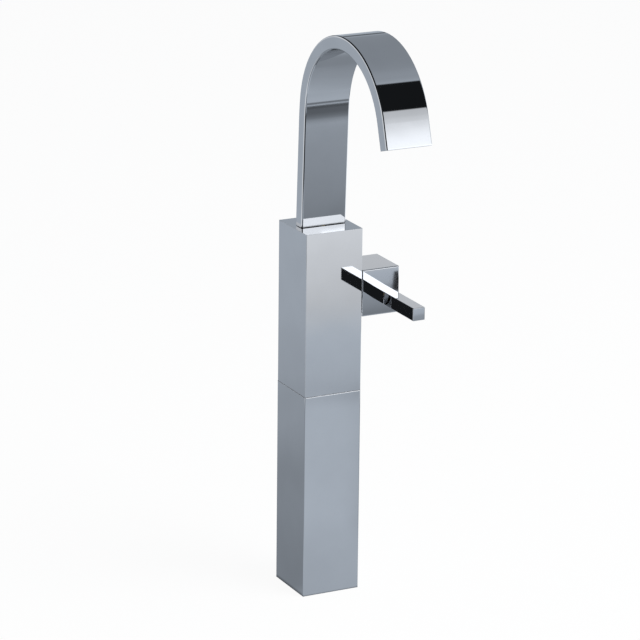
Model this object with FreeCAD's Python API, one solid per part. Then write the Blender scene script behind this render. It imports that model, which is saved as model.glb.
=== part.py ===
import FreeCAD, Part
import math
import os

# Basin mixer: a square column with a swivelling flat spout and a side lever.
# Lengths are in millimetres. +X is right, -Y is front and +Z is up.
# The origin is the middle of the column's foot, on the deck.

Vector = FreeCAD.Vector
RIGHT = Vector(1, 0, 0)
BACK = Vector(0, 1, 0)
UP = Vector(0, 0, 1)

# Column: shell above, extension below, gasket in the seam between them
column_side = 45.0
shell_height = 122.4
shell_wall = 2.5
extension_side = 45.6
extension_height = 154.3
extension_wall = 4.0
column_edge_round = 0.6
seam_thickness = 0.2
seam_recess = 0.05
seam_inner_clearance = 0.2

# Foot of the column
plate_side = 42.2
plate_thickness = 14.0
plate_clearance = 0.1
foot_gasket_side = 39.5
foot_gasket_width = 2.0
foot_gasket_depth = 1.5
hose_slot_width = 14.0
stud_hole_diameter = 5.0
stud_hole_spacing = 26.0

# Tie rod that clamps the column together
tie_offset = 9.0
tie_diameter = 8.0
tie_thread_depth = 12.0
tie_thread_clearance = 0.05
tie_hole_clearance = 0.3
tie_end_gap = 0.5
tie_standout = 0.8
tie_nut_across_flats = 13.0
tie_nut_height = 6.5
tie_washer_diameter = 15.0
tie_washer_thickness = 1.6
tie_recess_diameter = 16.0
tie_recess_depth = 9.6

# Valve block inside the shell
block_clearance = 0.2
tail_length = 12.0
tail_clearance = 0.1
pocket_side = 33.0
chamber_web = 8.2
inlet_offset = 10.0
inlet_spacing = 13.0
inlet_diameter = 9.0
inlet_depth = 12.0
supply_bore = 6.0
outlet_bore = 4.4
outlet_offset = 4.6

# Spout: a flat tube that leans a little, bends over and ends in a short straight outlet
spout_width = 35.8
spout_thickness = 10.0
spout_wall = 1.3
spout_edge_round = 1.2
spout_foot_gap = 0.3
spout_foot_height = 18.0
riser_lean = 2.5
riser_length = 89.7
bend_radius = 61.1
outlet_tilt = 17.0
outlet_straight = 18.9

# Spigot that carries the spout in the valve block
spigot_diameter = 18.0
spigot_clearance = 0.05
spigot_bore = 9.0
neck_diameter = 7.0
neck_bore = 4.6
neck_height = 13.0
neck_fit = 0.02
neck_clearance = 0.15
socket_depth = 22.0
plenum_diameter = 14.0
plenum_depth = 4.0
thrust_washer_thickness = 1.2
thrust_washer_clearance = 0.1
glide_ring_thickness = 1.5
glide_ring_clearance = 0.2
spigot_end_play = 0.1
ring_section = 1.8
ring_groove_play = 0.2
ring_place_shares = (0.2, 0.8)
swivel_limit = 60.0
stop_thread_diameter = 5.0
stop_thread_length = 6.0
stop_thread_clearance = 0.05
stop_tip_diameter = 3.0
stop_tip_length = 2.9
stop_slot_depth = 2.1
stop_slot_clearance = 0.2
stop_tip_play = 0.3
foot_screw_diameter = 4.0
foot_screw_length = 8.0
foot_screw_height = 6.0
foot_screw_clearance = 0.05

# Aerator in the outlet
aerator_clearance = 0.1
aerator_recess = 1.0
aerator_depth = 9.0
aerator_mouth_length = 28.4
aerator_mouth_width = 5.2
aerator_lip = 1.0
aerator_ledge = 0.5
grid_clearance = 0.05
grid_thickness = 2.0
grid_columns = 16
grid_rows = 4
grid_pitch_across = 1.72
grid_pitch_deep = 1.25
grid_hole_across = 1.3
grid_hole_deep = 0.9
screen_thickness = 0.5
screen_hole_diameter = 0.6
screen_columns = 24
screen_pitch = 1.1
seal_thickness = 1.5
seal_inset = 0.1

# Cartridge chamber in the block, measured in from the column's right face
lever_drop = 51.0
chamber_depth = 23.5
chamber_clearance = 0.1
mouth_depth = 9.7
mouth_clearance = 0.1
port_circle_diameter = 11.0
port_diameter = 3.6
hot_port_angle = 215.0
cold_port_angle = 325.0
mixed_port_angle = 90.0

# Cartridge
cartridge_diameter = 26.0
base_thickness = 4.0
base_clearance = 0.1
peg_diameter = 3.0
peg_length = 2.5
peg_circle_diameter = 19.0
peg_clearance = 0.1
port_seal_diameter = 7.4
port_seal_bore = 4.2
port_seal_pocket = 1.5
port_seal_standout = 0.3
port_seal_clearance = 0.05
fixed_disc_diameter = 20.0
fixed_disc_thickness = 2.5
disc_clearance = 0.2
disc_film = 0.05
moving_disc_diameter = 14.0
moving_disc_thickness = 2.5
mixing_recess_diameter = 9.0
mixing_recess_depth = 1.2
carrier_thickness = 5.0
carrier_rail_height = 1.5
carrier_rail_length = 10.0
carrier_rail_span = 8.8
carrier_rail_width = 1.4
rail_clearance = 0.1
guide_gap = 0.1
guide_flange_thickness = 3.0
guide_neck_diameter = 16.0
guide_neck_length = 6.3
guide_running_clearance = 0.08
guide_end_play = 0.25
housing_shoulder = 9.7
housing_neck_diameter = 24.0
housing_lip = 2.5
nut_diameter = 29.0
nut_standout = 2.0
nut_skirt_clearance = 0.15
nut_skirt_length = 6.0
nut_bore_clearance = 0.7
nut_slot_width = 4.0
nut_slot_depth = 1.2
nut_slots = 4
shell_hole_clearance = 0.2
collar_diameter = 33.0
collar_thickness = 1.8
collar_clearance = 0.05

# Lever stem, its pivot and its ball end
stem_side = 7.0
stem_below_pivot = 2.5
stem_slot_clearance = 0.4
stem_cheek_clearance = 0.25
stem_neck_diameter = 3.6
ball_diameter = 5.0
ball_clearance = 0.1
ball_sink = 1.6
pivot_reach = 7.8
pivot_pin_diameter = 2.5
pivot_pin_length = 15.0
pivot_pin_fit = 0.02
pivot_running_clearance = 0.05
tilt_limit = 18.0

# Hub and lever bar
hub_gap = 3.0
hub_length = 30.2
hub_side = 35.0
hub_edge_round = 0.8
hub_socket_depth = 13.0
hub_socket_fit = 0.02
hub_hollow_diameter = 28.0
hub_hollow_depth = 4.5
hub_boss_diameter = 15.0
hub_screw_place = 9.5
hub_screw_diameter = 5.0
hub_screw_length = 9.0
hub_screw_clearance = 0.05
hub_cap_diameter = 6.0
hub_cap_thickness = 2.5
bar_side = 9.5
bar_length = 61.8
bar_edge_round = 0.4
bar_place = 13.7
tenon_diameter = 6.0
tenon_length = 10.0
tenon_fit = 0.02
bar_screw_diameter = 4.0
bar_screw_length = 8.0
bar_screw_inset = 5.0
bar_screw_clearance = 0.05

# Every cut runs this far past the faces that it opens
overrun = 1.0

# Heights and stations that follow from the sizes above
body_bottom = extension_height + seam_thickness
body_top = body_bottom + shell_height
column_half = column_side / 2
extension_bore = extension_side - 2 * extension_wall
shell_bore = column_side - 2 * shell_wall
block_side = shell_bore - 2 * block_clearance
block_top = body_top - shell_wall
tail_side = extension_bore - 2 * tail_clearance
tail_bottom = body_bottom - tail_length
lever_height = body_top - lever_drop
chamber_bottom = lever_height - nut_diameter / 2 - mouth_clearance
pocket_top = chamber_bottom - chamber_web - tie_thread_depth

socket_floor = block_top - socket_depth
plenum_floor = socket_floor - plenum_depth
spigot_bottom = socket_floor + thrust_washer_thickness
spigot_top = block_top - spigot_end_play - glide_ring_thickness
spigot_length = spigot_top - spigot_bottom
stop_height = spigot_bottom + spigot_length / 2
spout_bottom = body_top + spout_foot_gap
neck_top = spout_bottom + neck_height
channel_width = spout_width - 2 * spout_wall
channel_thickness = spout_thickness - 2 * spout_wall

chamber_floor = column_half - chamber_depth
cartridge_bottom = chamber_floor + port_seal_standout
fixed_disc_place = cartridge_bottom + base_thickness
moving_disc_place = fixed_disc_place + fixed_disc_thickness + disc_film
carrier_place = moving_disc_place + moving_disc_thickness
carrier_top = carrier_place + carrier_thickness
guide_place = carrier_top + guide_gap
guide_shoulder = guide_place + guide_flange_thickness
guide_end = guide_shoulder + guide_neck_length
housing_lip_place = guide_shoulder + guide_end_play
housing_top = housing_lip_place + housing_lip
nut_end = column_half + nut_standout
ball_place = carrier_top - ball_sink
pivot_place = ball_place + pivot_reach
hub_face = column_half + hub_gap
hub_half = hub_side / 2
stem_end = hub_face + hub_socket_depth
bar_axis = hub_face + bar_place
housing_bore = fixed_disc_diameter + 2 * disc_clearance


def block(size_x, size_y, size_z, x, y, bottom):
    """Box centred on x and y that stands on a height."""
    corner = Vector(x - size_x / 2, y - size_y / 2, bottom)
    return Part.makeBox(size_x, size_y, size_z, corner)


def post(diameter, height, x, y, bottom):
    """Upright cylinder."""
    return Part.makeCylinder(diameter / 2, height, Vector(x, y, bottom), UP)


def spindle(diameter, start, end, y=0.0, z=lever_height):
    """Cylinder along X between two stations, on the lever's axis unless placed elsewhere."""
    return Part.makeCylinder(diameter / 2, end - start, Vector(start, y, z), RIGHT)


def rail(diameter, start, end, x, z):
    """Cylinder along Y between two places."""
    return Part.makeCylinder(diameter / 2, end - start, Vector(x, start, z), BACK)


def obround(length, width, height, bottom):
    """Upright prism with straight sides along X and round ends, centred on the Z axis."""
    radius = width / 2
    straight = length / 2 - radius
    right = Part.Arc(Vector(straight, -radius, bottom), Vector(straight + radius, 0, bottom),
                     Vector(straight, radius, bottom))
    left = Part.Arc(Vector(-straight, radius, bottom), Vector(-straight - radius, 0, bottom),
                    Vector(-straight, -radius, bottom))
    near = Part.LineSegment(Vector(-straight, -radius, bottom), Vector(straight, -radius, bottom))
    far = Part.LineSegment(Vector(straight, radius, bottom), Vector(-straight, radius, bottom))
    wire = Part.Wire([near.toShape(), right.toShape(), far.toShape(), left.toShape()])
    return Part.Face(wire).extrude(Vector(0, 0, height))


def prism(points, travel):
    """Solid swept from a closed outline."""
    return Part.Face(Part.makePolygon(points + points[:1])).extrude(travel)


def is_upright(edge):
    start = edge.Vertexes[0].Point
    end = edge.Vertexes[-1].Point
    return abs(end.z - start.z) > edge.Length / 2


def port_places():
    """Centres of the cartridge's ports, as Y and Z."""
    places = []
    for angle in (hot_port_angle, cold_port_angle, mixed_port_angle):
        turn = math.radians(angle)
        y = port_circle_diameter / 2 * math.cos(turn)
        z = lever_height + port_circle_diameter / 2 * math.sin(turn)
        places.append((y, z))
    return places


def peg_places():
    """Sides on which the cartridge's two pegs stand, as Y."""
    return (-peg_circle_diameter / 2, peg_circle_diameter / 2)


# Column pieces

def body_shell():
    shell = block(column_side, column_side, shell_height, 0, 0, body_bottom)
    rounded = []
    for edge in shell.Edges:
        if is_upright(edge) or edge.CenterOfMass.z > block_top:
            rounded.append(edge)
    shell = shell.makeFillet(column_edge_round, rounded)
    shell = shell.cut(block(shell_bore, shell_bore, shell_height - shell_wall, 0, 0, body_bottom))
    shell = shell.cut(spindle(nut_diameter + 2 * shell_hole_clearance, 0, column_side))
    return shell.cut(post(neck_diameter + 2 * neck_clearance, shell_height, 0, 0, body_bottom))


def column_extension():
    tube = block(extension_side, extension_side, extension_height, 0, 0, 0)
    tube = tube.makeFillet(column_edge_round, [edge for edge in tube.Edges if is_upright(edge)])
    tube = tube.cut(block(extension_bore, extension_bore, extension_height, 0, 0, 0))
    rebate = plate_side + 2 * plate_clearance
    return tube.cut(block(rebate, rebate, plate_thickness, 0, 0, 0))


def seam_gasket():
    outer = column_side - 2 * seam_recess
    inner = extension_bore + 2 * seam_inner_clearance
    ring = block(outer, outer, seam_thickness, 0, 0, extension_height)
    return ring.cut(block(inner, inner, seam_thickness, 0, 0, extension_height))


def foot_gasket():
    inner = foot_gasket_side - 2 * foot_gasket_width
    ring = block(foot_gasket_side, foot_gasket_side, foot_gasket_depth, 0, 0, 0)
    return ring.cut(block(inner, inner, foot_gasket_depth, 0, 0, 0))


def base_plate():
    plate = block(plate_side, plate_side, plate_thickness, 0, 0, 0)
    slot = obround(inlet_spacing + hose_slot_width, hose_slot_width, plate_thickness, 0)
    slot.rotate(Vector(0, 0, 0), UP, 90)
    slot.translate(Vector(-inlet_offset, 0, 0))
    plate = plate.cut(slot)
    plate = plate.cut(post(tie_diameter + 2 * tie_hole_clearance, plate_thickness, tie_offset, 0, 0))
    plate = plate.cut(post(tie_recess_diameter, tie_recess_depth, tie_offset, 0, 0))
    for side in (-1, 1):
        y = side * stud_hole_spacing / 2
        plate = plate.cut(post(stud_hole_diameter, plate_thickness, tie_offset, y, 0))
    return plate.cut(foot_gasket())


def tie_rod():
    end = pocket_top + tie_thread_depth - tie_end_gap
    start = tie_recess_depth - tie_washer_thickness - tie_nut_height - tie_standout
    return post(tie_diameter, end - start, tie_offset, 0, start)


def tie_washer():
    bottom = tie_recess_depth - tie_washer_thickness
    washer = post(tie_washer_diameter, tie_washer_thickness, tie_offset, 0, bottom)
    return washer.cut(post(tie_diameter + 2 * tie_hole_clearance, tie_washer_thickness, tie_offset, 0, bottom))


def tie_nut():
    bottom = tie_recess_depth - tie_washer_thickness - tie_nut_height
    corner = tie_nut_across_flats / 2 / math.cos(math.pi / 6)
    points = []
    for step in range(6):
        turn = step * math.pi / 3
        points.append(Vector(tie_offset + corner * math.cos(turn), corner * math.sin(turn), bottom))
    nut = prism(points, Vector(0, 0, tie_nut_height))
    bore = tie_diameter + 2 * tie_thread_clearance
    return nut.cut(post(bore, tie_nut_height, tie_offset, 0, bottom))


def valve_block():
    body = block(block_side, block_side, block_top - body_bottom, 0, 0, body_bottom)
    body = body.fuse(block(tail_side, tail_side, tail_length, 0, 0, tail_bottom)).removeSplitter()
    body = body.cut(block(pocket_side, pocket_side, pocket_top - tail_bottom, 0, 0, tail_bottom))
    body = body.cut(post(tie_diameter + 2 * tie_thread_clearance, tie_thread_depth, tie_offset, 0, pocket_top))
    return body.cut(chamber_cut()).cut(water_ways()).cut(socket_cut())


def chamber_cut():
    """Cartridge chamber with its threaded mouth and the holes for the cartridge's pegs."""
    face = column_half + overrun
    cut = spindle(cartridge_diameter + 2 * chamber_clearance, chamber_floor, face)
    cut = cut.fuse(spindle(nut_diameter + 2 * mouth_clearance, column_half - mouth_depth, face))
    bottom = cartridge_bottom - peg_length - peg_clearance
    for y in peg_places():
        cut = cut.fuse(spindle(peg_diameter + 2 * peg_clearance, bottom, chamber_floor + overrun, y))
    return cut


def water_ways():
    """Threaded inlets, supply bores, port bores and the bore that feeds the spout."""
    hot, cold, mixed = port_places()
    cuts = []
    for side, port in ((-1, hot), (1, cold)):
        y = side * inlet_spacing / 2
        top = port[1] + port_diameter / 2
        cuts.append(post(inlet_diameter, inlet_depth, -inlet_offset, y, pocket_top))
        cuts.append(post(supply_bore, top - pocket_top, -inlet_offset, y, pocket_top))
        cuts.append(spindle(port_diameter, -inlet_offset, chamber_floor + overrun, port[0], port[1]))
    cuts.append(spindle(port_diameter, -outlet_offset, chamber_floor + overrun, mixed[0], mixed[1]))
    start = mixed[1] - port_diameter / 2
    cuts.append(post(outlet_bore, plenum_floor + overrun - start, -outlet_offset, 0, start))
    return cuts[0].fuse(cuts[1:])


def socket_cut():
    """Socket for the spigot, the plenum below it and the threaded hole for the stop screw."""
    bore = spigot_diameter + 2 * spigot_clearance
    cut = post(bore, socket_depth + overrun, 0, 0, socket_floor)
    cut = cut.fuse(post(plenum_diameter, plenum_depth + overrun, 0, 0, plenum_floor))
    thread = stop_thread_diameter + 2 * stop_thread_clearance
    return cut.fuse(rail(thread, 0, column_half, 0, stop_height))


# Spout pieces

def strip(half_thickness, width, bottom, end_extra):
    """Flat band of the spout's shape: lean, bend and straight outlet, cut level at its foot."""
    lean = math.radians(riser_lean)
    turn = math.pi - math.radians(outlet_tilt)
    bend_y = -riser_length * math.sin(lean) - bend_radius * math.cos(lean)
    bend_z = body_top + riser_length * math.cos(lean) - bend_radius * math.sin(lean)
    sides = []
    for offset in (half_thickness, -half_thickness):
        radius = bend_radius + offset
        on_bend = [Vector(-width / 2, bend_y + radius * math.cos(angle), bend_z + radius * math.sin(angle))
                   for angle in (lean, (lean + turn) / 2, turn)]
        climb = (on_bend[0].z - bottom) / math.cos(lean)
        foot = on_bend[0] + Vector(0, climb * math.sin(lean), -climb * math.cos(lean))
        run = outlet_straight + end_extra
        tip = on_bend[2] + Vector(0, -run * math.sin(turn), run * math.cos(turn))
        sides.append((foot, on_bend, tip))
    edges = []
    for foot, on_bend, tip in sides:
        edges.append(Part.LineSegment(foot, on_bend[0]).toShape())
        edges.append(Part.Arc(on_bend[0], on_bend[1], on_bend[2]).toShape())
        edges.append(Part.LineSegment(on_bend[2], tip).toShape())
    edges.append(Part.LineSegment(sides[0][2], sides[1][2]).toShape())
    edges.append(Part.LineSegment(sides[0][0], sides[1][0]).toShape())
    outline = Part.Wire(Part.__sortEdges__(edges))
    return Part.Face(outline).extrude(Vector(width, 0, 0))


def spout():
    tube = strip(spout_thickness / 2, spout_width, spout_bottom, 0)
    long_edges = []
    for edge in tube.Edges:
        crosses = edge.BoundBox.XLength > spout_edge_round
        is_end = edge.Length < spout_thickness + spout_wall
        if not crosses and not is_end:
            long_edges.append(edge)
    tube = tube.makeFillet(spout_edge_round, long_edges)
    tube = tube.cut(strip(channel_thickness / 2, channel_width, spout_bottom + spout_foot_height, overrun))
    tube = tube.cut(post(neck_diameter + 2 * neck_fit, neck_height + neck_fit, 0, 0, spout_bottom))
    tube = tube.cut(post(neck_bore, spout_foot_height + overrun, 0, 0, spout_bottom))
    screw_hole = foot_screw_diameter + 2 * foot_screw_clearance
    height = spout_bottom + foot_screw_height
    return tube.cut(spindle(screw_hole, 0, spout_width, 0, height))


def foot_grub_screw():
    start = neck_diameter / 2
    height = spout_bottom + foot_screw_height
    return spindle(foot_screw_diameter, start, start + foot_screw_length, 0, height)


def spout_spigot():
    body = post(spigot_diameter, spigot_length, 0, 0, spigot_bottom)
    body = body.fuse(post(neck_diameter, neck_top - spigot_top, 0, 0, spigot_top)).removeSplitter()
    body = body.cut(post(spigot_bore, spigot_length / 2, 0, 0, spigot_bottom))
    body = body.cut(post(neck_bore, neck_top - spigot_bottom, 0, 0, spigot_bottom))
    for height in ring_heights():
        body = body.cut(ring_groove(height))
    return body.cut(stop_slot())


def ring_heights():
    return [spigot_bottom + share * spigot_length for share in ring_place_shares]


def ring_groove(height):
    width = ring_section + ring_groove_play
    bottom = height - width / 2
    groove = post(spigot_diameter + overrun, width, 0, 0, bottom)
    return groove.cut(post(spigot_diameter - 2 * ring_section, width, 0, 0, bottom))


def spigot_rings():
    radius = (spigot_diameter - ring_section) / 2
    rings = [Part.makeTorus(radius, ring_section / 2, Vector(0, 0, height), UP) for height in ring_heights()]
    return Part.makeCompound(rings)


def stop_slot():
    """Slot round the spigot in which the stop screw's tip travels."""
    floor = spigot_diameter / 2 - stop_slot_depth
    half_height = stop_tip_diameter / 2 + stop_slot_clearance
    play = math.asin((stop_tip_diameter / 2 + stop_tip_play) / floor)
    reach = swivel_limit + math.degrees(play)
    base = Vector(0, 0, stop_height - half_height)
    sector = Part.makeCylinder(spigot_diameter / 2 + overrun, 2 * half_height, base, UP, 2 * reach)
    sector.rotate(base, UP, 90 - reach)
    return sector.cut(Part.makeCylinder(floor, 2 * half_height, base, UP))


def swivel_stop_screw():
    tip_start = spigot_diameter / 2 - stop_slot_depth + stop_slot_clearance
    thread_start = tip_start + stop_tip_length
    screw = rail(stop_tip_diameter, tip_start, thread_start, 0, stop_height)
    thread = rail(stop_thread_diameter, thread_start, thread_start + stop_thread_length, 0, stop_height)
    return screw.fuse(thread).removeSplitter()


def thrust_washer():
    washer = post(spigot_diameter - 2 * thrust_washer_clearance, thrust_washer_thickness, 0, 0, socket_floor)
    return washer.cut(post(plenum_diameter, thrust_washer_thickness, 0, 0, socket_floor))


def glide_ring():
    ring = post(spigot_diameter - 2 * glide_ring_clearance, glide_ring_thickness, 0, 0, spigot_top)
    return ring.cut(post(neck_diameter + 2 * glide_ring_clearance, glide_ring_thickness, 0, 0, spigot_top))


# Aerator pieces, drawn upright with the outlet's end at height 0 and then set into the outlet

def at_outlet(shape):
    lean = math.radians(riser_lean)
    turn = math.pi - math.radians(outlet_tilt)
    y = -riser_length * math.sin(lean) - bend_radius * math.cos(lean) + bend_radius * math.cos(turn)
    z = riser_length * math.cos(lean) - bend_radius * math.sin(lean) + bend_radius * math.sin(turn)
    shape.rotate(Vector(0, 0, 0), RIGHT, -outlet_tilt)
    shape.translate(Vector(0, y - outlet_straight * math.sin(turn), body_top + z + outlet_straight * math.cos(turn)))
    return shape


def aerator_frame():
    width = channel_width - 2 * aerator_clearance
    depth = channel_thickness - 2 * aerator_clearance
    frame = block(width, depth, aerator_depth, 0, 0, aerator_recess)
    frame = frame.cut(obround(aerator_mouth_length, aerator_mouth_width, aerator_depth, aerator_recess))
    seat = aerator_recess + aerator_lip
    length = aerator_mouth_length + 2 * aerator_ledge
    frame = frame.cut(obround(length, aerator_mouth_width + 2 * aerator_ledge, aerator_depth, seat))
    return at_outlet(frame)


def grid_plate(thickness, bottom):
    """Obround plate that rests on the frame's lip."""
    length = aerator_mouth_length + 2 * aerator_ledge - 2 * grid_clearance
    width = aerator_mouth_width + 2 * aerator_ledge - 2 * grid_clearance
    return obround(length, width, thickness, bottom)


def in_mouth(x, y):
    """Whether a point lies in the obround mouth of the aerator's frame."""
    radius = aerator_mouth_width / 2
    past = max(abs(x) - (aerator_mouth_length / 2 - radius), 0)
    return math.hypot(past, y) < radius


def aerator_grid():
    bottom = aerator_recess + aerator_lip
    plate = grid_plate(grid_thickness, bottom)
    holes = []
    for column in range(grid_columns):
        x = (column - (grid_columns - 1) / 2) * grid_pitch_across
        for row in range(grid_rows):
            y = (row - (grid_rows - 1) / 2) * grid_pitch_deep
            if in_mouth(abs(x) + grid_hole_across / 2, abs(y) + grid_hole_deep / 2):
                holes.append(block(grid_hole_across, grid_hole_deep, grid_thickness, x, y, bottom))
    return at_outlet(plate.cut(holes))


def aerator_screen():
    bottom = aerator_recess + aerator_lip + grid_thickness
    plate = grid_plate(screen_thickness, bottom)
    holes = []
    for column in range(screen_columns):
        x = (column - (screen_columns - 1) / 2) * screen_pitch
        for y in (-screen_pitch, 0, screen_pitch):
            holes.append(post(screen_hole_diameter, screen_thickness, x, y, bottom))
    return at_outlet(plate.cut(holes))


def aerator_seal():
    bottom = aerator_recess + aerator_depth
    width = channel_width - 2 * aerator_clearance - 2 * seal_inset
    depth = channel_thickness - 2 * aerator_clearance - 2 * seal_inset
    seal = block(width, depth, seal_thickness, 0, 0, bottom)
    return at_outlet(seal.cut(obround(aerator_mouth_length, aerator_mouth_width, seal_thickness, bottom)))


# Cartridge pieces, along X from the chamber's floor outwards

def cut_ports(piece, start, end):
    for y, z in port_places():
        piece = piece.cut(spindle(port_diameter, start, end, y, z))
    return piece


def cartridge_base():
    base = spindle(cartridge_diameter - 2 * base_clearance, cartridge_bottom, fixed_disc_place)
    for y in peg_places():
        base = base.fuse(spindle(peg_diameter, cartridge_bottom - peg_length, fixed_disc_place, y))
    base = base.removeSplitter()
    pocket = port_seal_diameter + 2 * port_seal_clearance
    for y, z in port_places():
        base = base.cut(spindle(pocket, cartridge_bottom, cartridge_bottom + port_seal_pocket, y, z))
    return cut_ports(base, cartridge_bottom, fixed_disc_place)


def port_seals():
    end = cartridge_bottom + port_seal_pocket
    rings = []
    for y, z in port_places():
        ring = spindle(port_seal_diameter, chamber_floor, end, y, z)
        rings.append(ring.cut(spindle(port_seal_bore, chamber_floor, end, y, z)))
    return Part.makeCompound(rings)


def fixed_disc():
    end = fixed_disc_place + fixed_disc_thickness
    return cut_ports(spindle(fixed_disc_diameter, fixed_disc_place, end), fixed_disc_place, end)


def moving_disc():
    disc = spindle(moving_disc_diameter, moving_disc_place, carrier_place)
    recess = spindle(mixing_recess_diameter, moving_disc_place, moving_disc_place + mixing_recess_depth)
    return disc.cut(recess)


def disc_carrier():
    carrier = spindle(moving_disc_diameter, carrier_place, carrier_top)
    for side in (-1, 1):
        z = lever_height + side * (carrier_rail_span - carrier_rail_width) / 2
        corner = Vector(carrier_top, -carrier_rail_length / 2, z - carrier_rail_width / 2)
        carrier = carrier.fuse(Part.makeBox(carrier_rail_height, carrier_rail_length, carrier_rail_width, corner))
    carrier = carrier.removeSplitter()
    bore = ball_diameter + 2 * ball_clearance
    return carrier.cut(spindle(bore, ball_place - bore / 2, carrier_top))


def stem_guide():
    guide = spindle(fixed_disc_diameter, guide_place, guide_shoulder)
    guide = guide.fuse(spindle(guide_neck_diameter, guide_shoulder, guide_end)).removeSplitter()
    groove_width = carrier_rail_span + 2 * rail_clearance
    groove_depth = carrier_rail_height + rail_clearance
    corner = Vector(guide_place, -fixed_disc_diameter, lever_height - groove_width / 2)
    guide = guide.cut(Part.makeBox(groove_depth, 2 * fixed_disc_diameter, groove_width, corner))
    tilt = math.radians(tilt_limit)
    half = stem_side / 2
    front = half * math.cos(tilt) + stem_below_pivot * math.sin(tilt) + stem_slot_clearance
    rear = half / math.cos(tilt) + (guide_end - pivot_place) * math.tan(tilt) + stem_slot_clearance
    slot_width = stem_side + 2 * stem_cheek_clearance
    corner = Vector(guide_place, -front, lever_height - slot_width / 2)
    guide = guide.cut(Part.makeBox(guide_end - guide_place, front + rear, slot_width, corner))
    hole = pivot_pin_diameter + 2 * pivot_pin_fit
    return guide.cut(pivot_cylinder(hole, guide_neck_diameter))


def pivot_cylinder(diameter, length):
    """Cylinder along the lever's tilt axis."""
    return post(diameter, length, pivot_place, 0, lever_height - length / 2)


def stem_pivot_pin():
    return pivot_cylinder(pivot_pin_diameter, pivot_pin_length)


def lever_stem():
    shank_start = pivot_place - stem_below_pivot
    corner = Vector(shank_start, -stem_side / 2, lever_height - stem_side / 2)
    stem = Part.makeBox(stem_end - shank_start, stem_side, stem_side, corner)
    stem = stem.fuse(spindle(stem_neck_diameter, ball_place, shank_start))
    stem = stem.fuse(Part.makeSphere(ball_diameter / 2, Vector(ball_place, 0, lever_height)))
    hole = pivot_pin_diameter + 2 * pivot_running_clearance
    return stem.removeSplitter().cut(pivot_cylinder(hole, 2 * stem_side))


def cartridge_housing():
    shoulder = fixed_disc_place + housing_shoulder
    housing = spindle(cartridge_diameter, fixed_disc_place, shoulder)
    housing = housing.fuse(spindle(housing_neck_diameter, shoulder, housing_top)).removeSplitter()
    housing = housing.cut(spindle(housing_bore, fixed_disc_place, housing_lip_place))
    lip_bore = guide_neck_diameter + 2 * guide_running_clearance
    return housing.cut(spindle(lip_bore, housing_lip_place, housing_top))


def cartridge_nut():
    nut = spindle(nut_diameter, housing_top - nut_skirt_length, nut_end)
    skirt_bore = housing_neck_diameter + 2 * nut_skirt_clearance
    nut = nut.cut(spindle(skirt_bore, housing_top - nut_skirt_length, housing_top))
    nut = nut.cut(spindle(guide_neck_diameter + 2 * nut_bore_clearance, housing_top, nut_end))
    corner = Vector(nut_end - nut_slot_depth, -nut_slot_width / 2, lever_height)
    for step in range(nut_slots):
        slot = Part.makeBox(nut_slot_depth, nut_slot_width, nut_diameter, corner)
        slot.rotate(Vector(0, 0, lever_height), RIGHT, step * 360 / nut_slots)
        nut = nut.cut(slot)
    return nut


def cartridge_collar():
    end = column_half + collar_thickness
    collar = spindle(collar_diameter, column_half, end)
    return collar.cut(spindle(nut_diameter + 2 * collar_clearance, column_half, end))


# Lever pieces

def handle_hub():
    corner = Vector(hub_face, -hub_half, lever_height - hub_half)
    hub = Part.makeBox(hub_length, hub_side, hub_side, corner)
    hub = hub.makeFillet(hub_edge_round, hub.Edges)
    hollow = spindle(hub_hollow_diameter, hub_face, hub_face + hub_hollow_depth)
    hub = hub.cut(hollow.cut(spindle(hub_boss_diameter, hub_face, hub_face + hub_hollow_depth)))
    hub = hub.cut(hub_relief())
    socket = stem_side + 2 * hub_socket_fit
    corner = Vector(hub_face, -socket / 2, lever_height - socket / 2)
    hub = hub.cut(Part.makeBox(hub_socket_depth + hub_socket_fit, socket, socket, corner))
    hub = hub.cut(rail(tenon_diameter + 2 * tenon_fit, -hub_half, tenon_length + tenon_fit - hub_half,
                       bar_axis, lever_height))
    x = hub_face + hub_screw_place
    hub = hub.cut(rail(hub_screw_diameter + 2 * hub_screw_clearance, 0, hub_side, x, lever_height))
    cap_hole = hub_cap_diameter + 2 * hub_screw_clearance
    hub = hub.cut(rail(cap_hole, hub_half - hub_cap_thickness, hub_side, x, lever_height))
    screw_hole = bar_screw_diameter + 2 * bar_screw_clearance
    return hub.cut(post(screw_hole, hub_half, bar_axis, bar_screw_inset - hub_half, lever_height - hub_half))


def hub_relief():
    """Wedge behind the lever's axis that lets the hub tilt without touching the column."""
    reach = hub_half + overrun
    depth = reach * math.tan(math.radians(tilt_limit))
    bottom = lever_height - reach
    points = [Vector(hub_face, 0, bottom), Vector(hub_face + depth, reach, bottom), Vector(hub_face, reach, bottom)]
    return prism(points, Vector(0, 0, 2 * reach))


def hub_grub_screw():
    start = stem_side / 2
    return rail(hub_screw_diameter, start, start + hub_screw_length, hub_face + hub_screw_place, lever_height)


def hub_screw_cap():
    return rail(hub_cap_diameter, hub_half - hub_cap_thickness, hub_half, hub_face + hub_screw_place, lever_height)


def lever_bar():
    corner = Vector(bar_axis - bar_side / 2, -hub_half - bar_length, lever_height - bar_side / 2)
    bar = Part.makeBox(bar_side, bar_length, bar_side, corner)
    seat = -hub_half - bar_edge_round
    bar = bar.makeFillet(bar_edge_round, [edge for edge in bar.Edges if edge.CenterOfMass.y < seat])
    tenon = rail(tenon_diameter, -hub_half, tenon_length - hub_half, bar_axis, lever_height)
    return bar.fuse(tenon).removeSplitter()


def bar_grub_screw():
    bottom = lever_height - tenon_diameter / 2 - bar_screw_length
    return post(bar_screw_diameter, bar_screw_length, bar_axis, bar_screw_inset - hub_half, bottom)


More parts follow.
